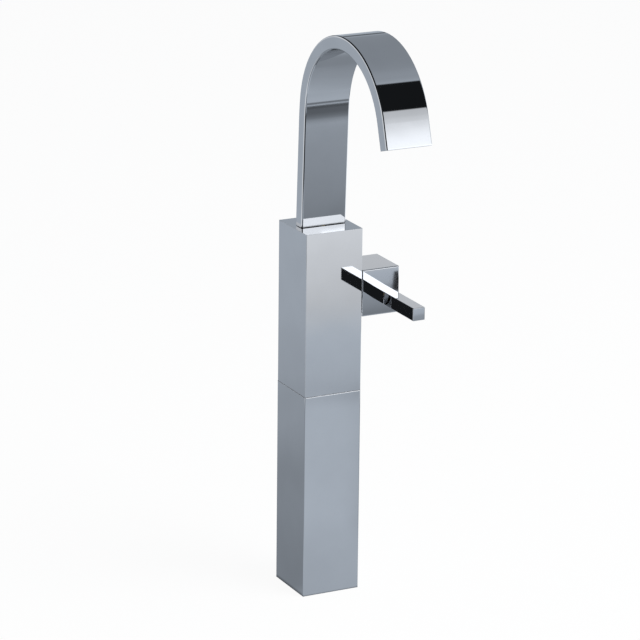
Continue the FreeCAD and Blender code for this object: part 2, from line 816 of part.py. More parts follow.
pieces = (
    body_shell, column_extension, seam_gasket, base_plate, foot_gasket, tie_rod, tie_washer, tie_nut, valve_block,
    spout, foot_grub_screw, spout_spigot, spigot_rings, swivel_stop_screw, thrust_washer, glide_ring,
    aerator_frame, aerator_grid, aerator_screen, aerator_seal,
    cartridge_base, port_seals, fixed_disc, moving_disc, disc_carrier, stem_guide, stem_pivot_pin,
    lever_stem, cartridge_housing, cartridge_nut, cartridge_collar,
    handle_hub, hub_grub_screw, hub_screw_cap, lever_bar, bar_grub_screw,
)

os.makedirs("parts", exist_ok=True)
for piece in pieces:
    piece().exportStep("parts/" + piece.__name__ + ".step")
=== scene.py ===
import math

import bmesh
import bpy
from bpy.props import FloatProperty, FloatVectorProperty, IntProperty, PointerProperty
from mathutils import Matrix, Vector


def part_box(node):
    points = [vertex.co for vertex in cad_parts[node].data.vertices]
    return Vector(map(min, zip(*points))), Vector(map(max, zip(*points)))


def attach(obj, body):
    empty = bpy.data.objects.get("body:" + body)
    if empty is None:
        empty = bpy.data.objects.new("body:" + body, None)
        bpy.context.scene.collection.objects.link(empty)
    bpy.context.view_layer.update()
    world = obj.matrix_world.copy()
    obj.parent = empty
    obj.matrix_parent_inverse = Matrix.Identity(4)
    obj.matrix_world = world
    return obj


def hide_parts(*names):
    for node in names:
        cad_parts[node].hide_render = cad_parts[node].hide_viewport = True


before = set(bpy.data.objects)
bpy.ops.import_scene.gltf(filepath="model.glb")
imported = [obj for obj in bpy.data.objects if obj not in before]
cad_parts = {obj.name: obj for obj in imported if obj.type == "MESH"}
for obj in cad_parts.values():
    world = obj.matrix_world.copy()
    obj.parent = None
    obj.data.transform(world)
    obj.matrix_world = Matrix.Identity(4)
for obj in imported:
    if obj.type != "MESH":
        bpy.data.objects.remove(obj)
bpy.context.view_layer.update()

bl_info = {
    "name": "Basin Mixer Looks",
    "version": (1, 0, 0),
    "blender": (4, 5, 0),
    "location": "3D View > Sidebar > Mixer",
    "description": "Dresses a basin mixer's frame with chromed pieces, finishes and a plain studio",
    "category": "Object",
}

# Places that the frame gives, in metres

shell_low, shell_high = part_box("body_shell")
extension_low, extension_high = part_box("column_extension")
plate_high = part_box("base_plate")[1]
spout_low, spout_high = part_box("spout")
hub_low, hub_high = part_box("handle_hub")
bar_low, bar_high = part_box("lever_bar")
lever_height = (hub_low.z + hub_high.z) / 2
bar_axis = (bar_low.x + bar_high.x) / 2


# Sizes and colours that a user would change

def length(name, description, default):
    return FloatProperty(name=name, description=description, default=default, min=0, precision=5, unit="LENGTH")


def angle(name, description, degrees):
    return FloatProperty(name=name, description=description, default=math.radians(degrees), subtype="ANGLE")


def colour(name, description, default):
    return FloatVectorProperty(name=name, description=description, default=default, size=3, min=0, max=1,
                               subtype="COLOR")


class MixerColumnSizes(bpy.types.PropertyGroup):
    """Sizes of the column's shell and its extension."""
    edge_round: length("Edge Rounding", "Radius of the column's upright edges", 0.001)
    rim_round: length("Rim Rounding", "Radius of the shell's top rim and the extension's front top edge", 0.0006)
    fine_round: length("Fine Rounding", "Radius of the other edges at the seam and the foot", 0.0001)
    shell_wall: length("Shell Wall", "Wall of the upper shell", 0.0025)
    extension_wall: length("Extension Wall", "Wall of the lower extension", 0.004)
    plate_clearance: length("Plate Clearance", "Gap round the plate in the foot", 0.0001)
    mouth_diameter: length("Cartridge Mouth", "Hole in the right face for the cartridge's nut", 0.0294)
    neck_diameter: length("Neck Hole", "Hole in the top for the spout's neck", 0.0073)


class MixerSpoutSizes(bpy.types.PropertyGroup):
    """Sizes of the flat spout, along the middle of its band."""
    width: length("Width", "Width of the band", spout_high.x - spout_low.x)
    thickness: length("Thickness", "Thickness of the band", 0.00995)
    wall: length("Wall", "Wall of the hollow band", 0.0013)
    edge_round: length("Edge Rounding", "Radius of the band's long edges", 0.0012)
    channel_round: length("Channel Rounding", "Radius of the water channel's corners", 0.0002)
    rim_round: length("Rim Rounding", "Radius of the edges at the outlet and the foot", 0.0003)
    lean: angle("Lean", "How far the riser leans to the front", 2.41)
    riser_length: length("Riser Length", "From the column's top to where the band starts to curve", 0.07805)
    ease_length: length("Easing Length", "Faint curve between the riser and the bend", 0.0165)
    ease_angle: angle("Easing Angle", "How far that faint curve turns", 4.5)
    bend_radius: length("Bend Radius", "Radius of the bend along the middle of the band", 0.06095)
    outlet_tilt: angle("Outlet Tilt", "Angle of the outlet from straight down", 17.0)
    outlet_straight: length("Outlet Length", "Straight run at the outlet", 0.0189)
    solid_foot: length("Solid Foot", "Height of the foot below the water channel", 0.018)
    screw_hole: length("Screw Hole", "Hole for the grub screw in the foot", 0.0041)
    screw_height: length("Screw Height", "Height of the grub screw above the foot", 0.006)


class MixerAeratorSizes(bpy.types.PropertyGroup):
    """Sizes of the perforated plate in the outlet."""
    plate_length: length("Plate Length", "Length of the perforated plate", 0.0293)
    plate_width: length("Plate Width", "Width of the perforated plate", 0.0061)
    plate_thickness: length("Plate Thickness", "Thickness of the perforated plate", 0.002)
    plate_depth: length("Plate Depth", "How deep the plate's face lies in the outlet", 0.002)
    mouth_length: length("Mouth Length", "Length of the field of holes", 0.0284)
    mouth_width: length("Mouth Width", "Width of the field of holes", 0.0052)
    columns: IntProperty(name="Columns", description="Holes along the plate", default=16, min=1)
    rows: IntProperty(name="Rows", description="Holes across the plate", default=4, min=1)
    pitch_along: length("Pitch Along", "Distance between holes along the plate", 0.00172)
    pitch_across: length("Pitch Across", "Distance between holes across the plate", 0.00125)
    hole_along: length("Hole Along", "Hole size along the plate", 0.0013)
    hole_across: length("Hole Across", "Hole size across the plate", 0.0009)


class MixerLeverSizes(bpy.types.PropertyGroup):
    """Sizes of the lever's hub and bar."""
    hub_round: length("Hub Rounding", "Radius of the hub's edges", 0.0008)
    relief_angle: angle("Relief Angle", "Bevel behind the axis that lets the hub tilt", 18.0)
    hollow_diameter: length("Hollow", "Hollow in the hub's inner face", 0.028)
    hollow_depth: length("Hollow Depth", "Depth of that hollow", 0.0045)
    boss_diameter: length("Boss", "Boss in the middle of the hollow", 0.015)
    cap_diameter: length("Cap Hole", "Hole for the screw cap in the hub's back", 0.0061)
    cap_depth: length("Cap Depth", "Depth of that hole", 0.0025)
    screw_hole: length("Screw Hole", "Hole for the grub screw under the hub", 0.0041)
    bar_round: length("Bar Rounding", "Radius of the bar's edges", 0.0004)
    tenon_diameter: length("Tenon", "Round end of the bar inside the hub", 0.006)
    tenon_length: length("Tenon Length", "Length of that round end", 0.01)


class MixerScrewSizes(bpy.types.PropertyGroup):
    """Sizes of the grub screws, beside the length and diameter that the frame gives."""
    pitch: length("Thread Pitch", "Distance between the thread's ridges", 0.0007)
    ridge: length("Thread Depth", "Depth of the thread", 0.00015)
    socket_share: FloatProperty(name="Socket", description="Hexagon socket as a share of the diameter", default=0.5,
                                subtype="FACTOR", min=0, max=0.8)
    socket_depth: length("Socket Depth", "Depth of the hexagon socket", 0.002)


class MixerFinishes(bpy.types.PropertyGroup):
    """Colours of the finishes."""
    chrome: colour("Chrome", "Polished chrome", (0.615, 0.62, 0.63))
    brass: colour("Brass", "Machined brass", (0.72, 0.55, 0.27))
    steel: colour("Steel", "Zinc plated steel", (0.6, 0.61, 0.62))
    rubber: colour("Rubber", "Black rubber", (0.03, 0.03, 0.033))
    white_plastic: colour("White Plastic", "Cartridge and glide rings", (0.8, 0.8, 0.77))
    dark_plastic: colour("Dark Plastic", "Aerator", (0.05, 0.05, 0.055))
    grey_plastic: colour("Grey Plastic", "Screw cap", (0.5, 0.51, 0.53))
    ceramic: colour("Ceramic", "Valve discs", (0.85, 0.84, 0.81))


class MixerStudio(bpy.types.PropertyGroup):
    """Camera and light."""
    eye: FloatVectorProperty(name="Eye", description="Where the camera stands", subtype="TRANSLATION",
                             default=(-1.12426, -2.22547, 0.98097))
    azimuth: angle("Azimuth", "Turn of the view about the upright axis", -26.808)
    elevation: angle("Elevation", "How far the view looks down", 17.303)
    roll: angle("Roll", "Turn of the picture", 0.636)
    lens: FloatProperty(name="Lens", description="Focal length on a 36 mm frame", default=201.7,
                        subtype="DISTANCE_CAMERA")
    floor_size: length("Floor", "Half width of the floor", 8.0)
    floor_drop: length("Floor Drop", "Gap between the floor and the foot", 0.0004)
    key_power: FloatProperty(name="Key Power", description="Power of the soft lamp", default=30.0, unit="POWER")
    key_size: length("Key Size", "Diameter of the soft lamp", 1.6)
    key_place: FloatVectorProperty(name="Key Place", description="Where the soft lamp hangs", subtype="TRANSLATION",
                                   default=(0.9, -1.2, 2.0))
    key_aim: length("Key Aim", "Height on the column that the soft lamp points at", 0.15)


# Mesh helpers

weld_distance = 1e-7
corner_angle = math.radians(15)
sharp_angle = math.radians(40)
bevel_steps = 4
circle_points = 72


def add_object(name, data):
    piece = bpy.data.objects.new(name, data)
    bpy.context.scene.collection.objects.link(piece)
    return piece


def make_plain(piece):
    """Turns an object with modifiers into a plain mesh."""
    bpy.context.view_layer.update()
    depsgraph = bpy.context.evaluated_depsgraph_get()
    mesh = bpy.data.meshes.new_from_object(piece.evaluated_get(depsgraph), preserve_all_data_layers=True,
                                           depsgraph=depsgraph)
    mesh.name = piece.name
    piece.modifiers.clear()
    old = piece.data
    piece.data = mesh
    bpy.data.meshes.remove(old)
    if not mesh.polygons:
        raise RuntimeError("nothing was made for " + piece.name)
    return piece


def prism(name, outline, place):
    """Closed prism between two copies of an outline. place(u, v, end) gives each corner, with end 0 or 1."""
    shape = bmesh.new()
    ends = [[shape.verts.new(place(u, v, end)) for u, v in outline] for end in (0, 1)]
    shape.faces.new(ends[0])
    shape.faces.new(ends[1])
    count = len(outline)
    for index in range(count):
        after = (index + 1) % count
        shape.faces.new((ends[0][index], ends[0][after], ends[1][after], ends[1][index]))
    bmesh.ops.recalc_face_normals(shape, faces=shape.faces)
    mesh = bpy.data.meshes.new(name)
    shape.to_mesh(mesh)
    shape.free()
    return add_object(name, mesh)


def upright(low, high):
    return lambda u, v, end: (u, v, high if end else low)


def sideways(low, high):
    return lambda u, v, end: (high if end else low, u, v)


def endways(low, high):
    return lambda u, v, end: (u, high if end else low, v)


def rectangle(low_u, high_u, low_v, high_v):
    return [(low_u, low_v), (high_u, low_v), (high_u, high_v), (low_u, high_v)]


def square(half):
    return rectangle(-half, half, -half, half)


def ring_of_points(u, v, diameter):
    turns = [2 * math.pi * step / circle_points for step in range(circle_points)]
    return [(u + diameter / 2 * math.cos(turn), v + diameter / 2 * math.sin(turn)) for turn in turns]


def combine(piece, operation, others):
    """Cuts the others out of the piece, or joins them to it, and removes them."""
    for other in others:
        step = piece.modifiers.new("Combine", "BOOLEAN")
        step.operation = operation
        step.solver = "EXACT"
        step.object = other
    make_plain(piece)
    for other in others:
        mesh = other.data
        bpy.data.objects.remove(other)
        bpy.data.meshes.remove(mesh)


def soften(piece, radius, share_of_radius):
    """Rounds each edge by its share of the radius. share_of_radius takes the edge's middle."""
    shape = bmesh.new()
    shape.from_mesh(piece.data)
    bmesh.ops.remove_doubles(shape, verts=shape.verts, dist=weld_distance)
    weights = shape.edges.layers.float.new("bevel_weight_edge")
    for face in shape.faces:
        face.smooth = True
    for edge in shape.edges:
        if len(edge.link_faces) == 2 and edge.calc_face_angle() >= corner_angle:
            start, end = edge.verts
            edge[weights] = share_of_radius((start.co + end.co) / 2)
            edge.smooth = edge[weights] > 0
    shape.to_mesh(piece.data)
    shape.free()
    bevel = piece.modifiers.new("Round Edges", "BEVEL")
    bevel.width = radius
    bevel.segments = bevel_steps
    bevel.limit_method = "WEIGHT"
    make_plain(piece)
    shape = bmesh.new()
    shape.from_mesh(piece.data)
    for edge in shape.edges:
        if len(edge.link_faces) == 2 and edge.calc_face_angle() > sharp_angle:
            edge.smooth = False
    shape.to_mesh(piece.data)
    shape.free()
    level = piece.modifiers.new("Flat Faces", "WEIGHTED_NORMAL")
    level.keep_sharp = True
    level.weight = 100
    make_plain(piece)


def dress(piece, material, slot, body, *nodes):
    """Gives a finished piece its material and its body, and hides the frame's nodes that it stands for. The slot is
    not used.
    """
    piece.data.materials.clear()
    piece.data.materials.append(material)
    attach(piece, body)
    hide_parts(*nodes)


# Node helpers, for materials and geometry alike

class NodeMaker:
    """Adds nodes to a tree and feeds their inputs with values or with other nodes' outputs."""

    def __init__(self, tree):
        self.tree = tree

    def add(self, kind, feeds=None, **settings):
        node = self.tree.nodes.new(kind)
        for name, value in settings.items():
            setattr(node, name, value)
        for name, value in (feeds or {}).items():
            self.feed(node.inputs[name], value)
        return node

    def feed(self, socket, value):
        if isinstance(value, bpy.types.NodeSocket):
            self.tree.links.new(value, socket)
        else:
            socket.default_value = value

    def math(self, operation, *values):
        node = self.add("ShaderNodeMath", operation=operation)
        for socket, value in zip(node.inputs, values):
            self.feed(socket, value)
        return node.outputs[0]

    def sum(self, *values):
        total = values[0]
        for value in values[1:]:
            total = self.math("ADD", total, value)
        return total

    def minus(self, value, other):
        return self.math("SUBTRACT", value, other)

    def product(self, *values):
        total = values[0]
        for value in values[1:]:
            total = self.math("MULTIPLY", total, value)
        return total

    def step(self, value, low, high, to_low=0.0, to_high=1.0):
        """Smooth step from to_low to to_high."""
        node = self.add("ShaderNodeMapRange", interpolation_type="SMOOTHSTEP")
        for name, number in (("Value", value), ("From Min", low), ("From Max", high), ("To Min", to_low),
                             ("To Max", to_high)):
            self.feed(node.inputs[name], number)
        return node.outputs["Result"]

    def vector(self, x, y, z):
        return self.add("ShaderNodeCombineXYZ", {"X": x, "Y": y, "Z": z}).outputs[0]

    def split(self, vector):
        return self.add("ShaderNodeSeparateXYZ", {0: vector}).outputs

    def ramp(self, value, stops):
        """Colour ramp through stops of place and colour."""
        node = self.add("ShaderNodeValToRGB", {0: value})
        band = node.color_ramp.elements
        while len(band) < len(stops):
            band.new(1.0)
        for element, (place, tone) in zip(band, stops):
            element.position = place
            element.color = (*tone, 1.0)
        return node.outputs["Color"]


# Materials

def new_material(name, metallic=0.0):
    material = bpy.data.materials.new(name)
    material.use_nodes = True
    shader = material.node_tree.nodes["Principled BSDF"]
    shader.inputs["Metallic"].default_value = metallic
    return material, NodeMaker(material.node_tree), shader


def object_place(maker):
    return maker.add("ShaderNodeTexCoord").outputs["Object"]


def pattern(maker, kind, scale, stretch=(1, 1, 1), **feeds):
    """Noise, Wave or Voronoi texture on Object coordinates. stretch squeezes it along each axis."""
    mapping = maker.add("ShaderNodeMapping", {"Vector": object_place(maker), "Scale": stretch})
    node = maker.add("ShaderNodeTex" + kind, {"Vector": mapping.outputs["Vector"], "Scale": scale, **feeds})
    return node.outputs["Distance" if kind == "Voronoi" else "Fac"]


def mottle(maker, shader, tone, texture, darker, lighter):
    """Varies the colour between a darker and a lighter shade."""
    dark, light = [tuple(part * share for part in tone) for share in (darker, lighter)]
    maker.feed(shader.inputs["Base Color"], maker.ramp(texture, [(0.3, dark), (0.7, light)]))


def roughen(maker, shader, texture, low, high):
    maker.feed(shader.inputs["Roughness"], maker.step(texture, 0.3, 0.7, low, high))


def bump(maker, shader, height, distance, strength=1.0):
    node = maker.add("ShaderNodeBump", {"Height": height, "Distance": distance, "Strength": strength})
    maker.feed(shader.inputs["Normal"], node.outputs["Normal"])


def polished_chrome(tone):
    """Mirror chrome: faint haze in broad clouds, hairline polishing marks and a slow wave under the plating."""
    material, maker, shader = new_material("polished chrome", metallic=1.0)
    clouds = pattern(maker, "Noise", 28.0, Detail=3.0)
    mottle(maker, shader, tone, clouds, 0.97, 1.03)
    hairlines = pattern(maker, "Noise", 260.0, (9, 9, 0.6), Detail=4.0)
    haze = maker.math("MULTIPLY_ADD", hairlines, 0.5, maker.product(clouds, 0.5))
    roughen(maker, shader, haze, 0.015, 0.05)
    wave = pattern(maker, "Noise", 34.0, Detail=1.0)
    bump(maker, shader, wave, 0.000012)
    return material


def crowned_chrome(name, tone, lean, curve):
    """Mirror chrome on a small face that the polishing wheel left faintly leaning and crowned."""
    material = polished_chrome(tone)
    material.name = name
    maker = NodeMaker(material.node_tree)
    wave = next(node for node in material.node_tree.nodes if node.bl_idname == "ShaderNodeBump")
    above = maker.minus(maker.split(object_place(maker))["Z"], lever_height)
    rise = maker.product(above, maker.math("MULTIPLY_ADD", above, -curve, lean))
    crown = maker.add("ShaderNodeBump", {"Height": rise, "Distance": 1.0})
    maker.feed(wave.inputs["Normal"], crown.outputs["Normal"])
    return material


def machined_brass(tone):
    """Brass with fine tool marks."""
    material, maker, shader = new_material("machined brass", metallic=1.0)
    marks = pattern(maker, "Wave", 420.0, (0.3, 0.3, 1), Distortion=1.5, Detail=3.0)
    mottle(maker, shader, tone, pattern(maker, "Noise", 90.0, Detail=5.0), 0.8, 1.1)
    roughen(maker, shader, marks, 0.22, 0.38)
    bump(maker, shader, marks, 0.00002, 0.6)
    return material


def plated_steel(tone):
    """Zinc plated steel with a cloudy, finely brushed face."""
    material, maker, shader = new_material("plated steel", metallic=1.0)
    clouds = pattern(maker, "Noise", 150.0, Detail=6.0)
    brushing = pattern(maker, "Noise", 700.0, (1, 0.05, 1), Detail=3.0)
    mottle(maker, shader, tone, clouds, 0.78, 1.08)
    roughen(maker, shader, brushing, 0.2, 0.42)
    bump(maker, shader, brushing, 0.00001, 0.7)
    return material


def moulded(name, tone, low, high, grain):
    """Moulded plastic or rubber with a fine grain, between a low and a high roughness."""
    material, maker, shader = new_material(name)
    clouds = pattern(maker, "Noise", 220.0, Detail=4.0)
    pores = pattern(maker, "Noise", grain, Detail=6.0)
    mottle(maker, shader, tone, clouds, 0.86, 1.1)
    roughen(maker, shader, pores, low, high)
    bump(maker, shader, pores, 0.00003, 0.6)
    return material


def lapped_ceramic(tone):
    """Dense ceramic with faint specks and a lapped, glossy face."""
    material, maker, shader = new_material("lapped ceramic")
    specks = pattern(maker, "Voronoi", 1400.0)
    mottle(maker, shader, tone, specks, 0.92, 1.02)
    sheen = pattern(maker, "Noise", 500.0, Detail=5.0)
    roughen(maker, shader, sheen, 0.12, 0.24)
    bump(maker, shader, sheen, 0.000008, 0.5)
    return material


finishes = {}


def make_finishes(colours):
    """One material for each of the record's slots, and two more for the lever's chrome."""
    finishes.update({
        "chrome": polished_chrome(colours.chrome),
        "hub_chrome": crowned_chrome("hub chrome", colours.chrome, lean=0.0188, curve=0.275),
        "bar_chrome": crowned_chrome("bar chrome", colours.chrome, lean=0.0096, curve=0.275),
        "raw_brass": machined_brass(colours.brass),
        "steel": plated_steel(colours.steel),
        "black_rubber": moulded("black rubber", colours.rubber, low=0.5, high=0.75, grain=900.0),
        "white_plastic": moulded("white plastic", colours.white_plastic, low=0.35, high=0.5, grain=1600.0),
        "dark_plastic": moulded("dark plastic", colours.dark_plastic, low=0.3, high=0.48, grain=1500.0),
        "grey_plastic": moulded("grey plastic", colours.grey_plastic, low=0.25, high=0.4, grain=1600.0),
        "disc_ceramic": lapped_ceramic(colours.ceramic),
    })


class MIXER_OT_finishes(bpy.types.Operator):
    """Make the finishes and give them to the frame's own pieces"""
    bl_idname = "mixer.finishes"
    bl_label = "Finishes"

    def execute(self, context):
        make_finishes(context.scene.mixer_finishes)
        for name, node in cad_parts.items():
            if not node.material_slots:
                raise RuntimeError(name + " has no material slot")
            for slot in node.material_slots:
                slot.material = finishes[slot.material.name.split(".")[0]]
        return {"FINISHED"}


# Column

class MIXER_OT_column(bpy.types.Operator):
    """Build the column's shell and its extension, with softened edges"""
    bl_idname = "mixer.column"
    bl_label = "Column"

    def execute(self, context):
        sizes = context.scene.mixer_column
        make_shell(sizes)
        make_extension(sizes)
        return {"FINISHED"}


def column_edges(sizes, half, on_rim):
    """Rounding of a column piece's outer edges: full on the upright ones, less on its rim and least elsewhere."""
    outside = half - sizes.fine_round

    def share(middle):
        if max(abs(middle.x), abs(middle.y)) < outside:
            return 0
        if min(abs(middle.x), abs(middle.y)) > outside:
            return 1
        return (sizes.rim_round if on_rim(middle) else sizes.fine_round) / sizes.edge_round

    return share


def make_shell(sizes):
    half = shell_high.x
    shell = prism("shell_chrome", square(half), upright(shell_low.z, shell_high.z))
    below = shell_low.z - sizes.shell_wall
    bore = prism("bore", square(half - sizes.shell_wall), upright(below, shell_high.z - sizes.shell_wall))
    mouth = prism("mouth", ring_of_points(0, lever_height, sizes.mouth_diameter), sideways(0, 2 * half))
    neck = prism("neck", ring_of_points(0, 0, sizes.neck_diameter), upright(shell_low.z, 2 * shell_high.z))
    combine(shell, "DIFFERENCE", (bore, mouth, neck))
    soften(shell, sizes.edge_round, column_edges(sizes, half, lambda middle: middle.z > lever_height))
    dress(shell, finishes["chrome"], "chrome", "column", "body_shell")


def make_extension(sizes):
    half = extension_high.x
    tube = prism("extension_chrome", square(half), upright(extension_low.z, extension_high.z))
    wall = sizes.extension_wall
    bore = prism("bore", square(half - wall), upright(extension_low.z - wall, extension_high.z + wall))
    seat_half = plate_high.x + sizes.plate_clearance
    seat = prism("seat", square(seat_half), upright(extension_low.z - wall, plate_high.z))
    combine(tube, "DIFFERENCE", (bore, seat))
    top = extension_high.z - sizes.fine_round
    edges = column_edges(sizes, half, lambda middle: middle.z > top and middle.y < -half / 2)
    soften(tube, sizes.edge_round, edges)
    dress(tube, finishes["chrome"], "chrome", "column", "column_extension")


# Spout

path_steps = 4000
band_rings = 220
band_corner_steps = 7
drill_sides = 48


def band_length(sizes):
    bend = math.pi - sizes.outlet_tilt - sizes.lean - sizes.ease_angle
    return sizes.riser_length + sizes.ease_length + sizes.bend_radius * bend + sizes.outlet_straight


def outlet_place(sizes):
    """Middle of the outlet's end, and the direction that the water leaves in."""
    pace = band_length(sizes) / path_steps
    last = math.pi - sizes.outlet_tilt
    place = Vector((0, 0, shell_high.z))
    for index in range(path_steps):
        past = (index + 0.5) * pace - sizes.riser_length
        eased = min(max(past / sizes.ease_length, 0), 1) * sizes.ease_angle
        heading = min(sizes.lean + eased + max((past - sizes.ease_length) / sizes.bend_radius, 0), last)
        place += Vector((0, -math.sin(heading), math.cos(heading))) * pace
    return place, Vector((0, -math.sin(last), math.cos(last)))


def new_tree(name, numbers, others=()):
    """Geometry node tree with named inputs, the last of them its material. Returns its maker, and its input sockets
    by name."""
    tree = bpy.data.node_groups.new(name, "GeometryNodeTree")
    inputs = [*((label, "Float") for label in numbers), *others, ("Material", "Material")]
    for label, kind in inputs:
        tree.interface.new_socket(name=label, in_out="INPUT", socket_type="NodeSocket" + kind)
    tree.interface.new_socket(name="Geometry", in_out="OUTPUT", socket_type="NodeSocketGeometry")
    maker = NodeMaker(tree)
    entry = maker.add("NodeGroupInput")
    return maker, {label: entry.outputs[label] for label, _ in inputs}


def run_tree(name, tree, sizes, others):
    """Evaluates a geometry node tree into a plain mesh. Each input is one of the others, or the size of that name."""
    piece = add_object(name, bpy.data.meshes.new(name))
    step = piece.modifiers.new("Shape", "NODES")
    step.node_group = tree
    for item in tree.interface.items_tree:
        if item.in_out == "INPUT":
            given = item.name in others
            value = others[item.name] if given else getattr(sizes, item.name.lower().replace(" ", "_"))
            step[item.identifier] = value
    return make_plain(piece)


def cut(maker, mesh, *cutters):
    """Cuts meshes out of a mesh."""
    node = maker.add("GeometryNodeMeshBoolean", {"Mesh 1": mesh}, operation="DIFFERENCE", solver="EXACT")
    for cutter in cutters:
        maker.feed(node.inputs["Mesh 2"], cutter)
    return node.outputs["Mesh"]


def finish_tree(maker, geometry, material):
    """Ends a tree: makes its instances real and gives it the material."""
    realized = maker.add("GeometryNodeRealizeInstances", {"Geometry": geometry})
    coated = maker.add("GeometryNodeSetMaterial", {"Geometry": realized.outputs[0], "Material": material})
    maker.add("NodeGroupOutput", {"Geometry": coated.outputs[0]})
    return maker.tree


def band_path(maker, given, start, end):
    """Curve along the middle of the band, from one distance along it to another. It sums short steps, each in the
    direction that the band has there: the riser's lean, a faint curve, the bend and the straight outlet."""
    line = maker.add("GeometryNodeCurvePrimitiveLine")
    even = maker.add("GeometryNodeResampleCurve", {"Curve": line.outputs["Curve"], "Count": given["Rings"]})
    factor = maker.add("GeometryNodeSplineParameter").outputs["Factor"]
    run = maker.minus(end, start)
    pace = maker.math("DIVIDE", run, maker.minus(given["Rings"], 1.0))
    along = maker.math("MULTIPLY_ADD", factor, run, start)
    along = maker.math("MULTIPLY_ADD", pace, 0.5, along)
    past = maker.minus(along, given["Riser Length"])
    ease = maker.math("MAXIMUM", maker.math("DIVIDE", past, given["Ease Length"]), 0.0)
    ease = maker.product(maker.math("MINIMUM", ease, 1.0), given["Ease Angle"])
    bend = maker.math("DIVIDE", maker.minus(past, given["Ease Length"]), given["Bend Radius"])
    heading = maker.sum(given["Lean"], ease, maker.math("MAXIMUM", bend, 0.0))
    heading = maker.math("MINIMUM", heading, maker.minus(math.pi, given["Outlet Tilt"]))
    forward = maker.product(maker.math("SINE", heading), pace, -1.0)
    upward = maker.product(maker.math("COSINE", heading), pace)
    steps = maker.add("GeometryNodeAccumulateField", {"Value": maker.vector(0.0, forward, upward)},
                      data_type="FLOAT_VECTOR", domain="POINT")
    first = maker.vector(0.0, maker.product(maker.math("SINE", given["Lean"]), start, -1.0),
                         maker.math("MULTIPLY_ADD", maker.math("COSINE", given["Lean"]), start, given["Top"]))
    place = maker.add("ShaderNodeVectorMath", {0: steps.outputs["Trailing"], 1: first}, operation="ADD")
    placed = maker.add("GeometryNodeSetPosition", {"Geometry": even.outputs["Curve"], "Position": place.outputs[0]})
    return placed.outputs["Geometry"]


def rounded_rectangle(maker, width, height, radius, steps):
    """Flat outline with rounded corners."""
    corners = maker.add("GeometryNodeCurvePrimitiveQuadrilateral", {"Width": width, "Height": height})
    rounded = maker.add("GeometryNodeFilletCurve", {"Curve": corners.outputs["Curve"], "Radius": radius,
                                                    "Count": steps}, mode="POLY")
    return rounded.outputs["Curve"]


def sweep(maker, path, width, thickness, rounding):
    """Closed band of a rectangular section with rounded corners along a path."""
    section = rounded_rectangle(maker, width, thickness, rounding, band_corner_steps)
    swept = maker.add("GeometryNodeCurveToMesh", {"Curve": path, "Profile Curve": section, "Fill Caps": True})
    return swept.outputs["Mesh"]


def spout_tree():
    maker, given = new_tree("Spout Band", (
        "Width", "Thickness", "Edge Round", "Wall", "Lean", "Riser Length", "Ease Length", "Ease Angle", "Bend Radius",
        "Outlet Tilt", "Total", "Top", "Foot", "Channel Start", "Channel Round", "Screw Hole", "Screw Height"),
        [("Rings", "Int")])
    outer = sweep(maker, band_path(maker, given, 0.0, given["Total"]), given["Width"], given["Thickness"],
                  given["Edge Round"])
    x, y, z = maker.split(maker.add("GeometryNodeInputPosition").outputs[0])
    level = maker.vector(x, y, maker.math("MAXIMUM", z, given["Foot"]))
    outer = maker.add("GeometryNodeSetPosition", {"Geometry": outer, "Position": level}).outputs["Geometry"]
    twice_wall = maker.product(given["Wall"], 2.0)
    past_end = maker.sum(given["Total"], given["Wall"])
    inner = sweep(maker, band_path(maker, given, given["Channel Start"], past_end),
                  maker.minus(given["Width"], twice_wall), maker.minus(given["Thickness"], twice_wall),
                  given["Channel Round"])
    drill = maker.add("GeometryNodeMeshCylinder", {
        "Vertices": drill_sides, "Radius": maker.product(given["Screw Hole"], 0.5), "Depth": given["Width"]})
    height = maker.sum(given["Foot"], given["Screw Height"])
    drill = maker.add("GeometryNodeTransform", {
        "Geometry": drill.outputs["Mesh"], "Rotation": (0, math.pi / 2, 0),
        "Translation": maker.vector(maker.product(given["Width"], 0.6), 0.0, height)})
    return finish_tree(maker, cut(maker, outer, inner, drill.outputs["Geometry"]), given["Material"])


class MIXER_OT_spout(bpy.types.Operator):
    """Sweep the hollow spout along its lean, bend and outlet"""
    bl_idname = "mixer.spout"
    bl_label = "Spout"

    def execute(self, context):
        sizes = context.scene.mixer_spout
        band = run_tree("spout_chrome", spout_tree(), sizes, {
            "Total": band_length(sizes), "Top": shell_high.z, "Foot": spout_low.z,
            "Channel Start": spout_low.z + sizes.solid_foot - shell_high.z, "Rings": band_rings,
            "Material": finishes["chrome"]})
        end, heading = outlet_place(sizes)

        def share(middle):
            at_end = abs((middle - end).dot(heading)) < sizes.rim_round
            return 1 if at_end or middle.z < spout_low.z + sizes.rim_round else 0

        soften(band, sizes.rim_round, share)
        dress(band, finishes["chrome"], "chrome", "spout", "spout")
        return {"FINISHED"}


# Aerator

plate_corner_steps = 12
nearly_half = 0.499


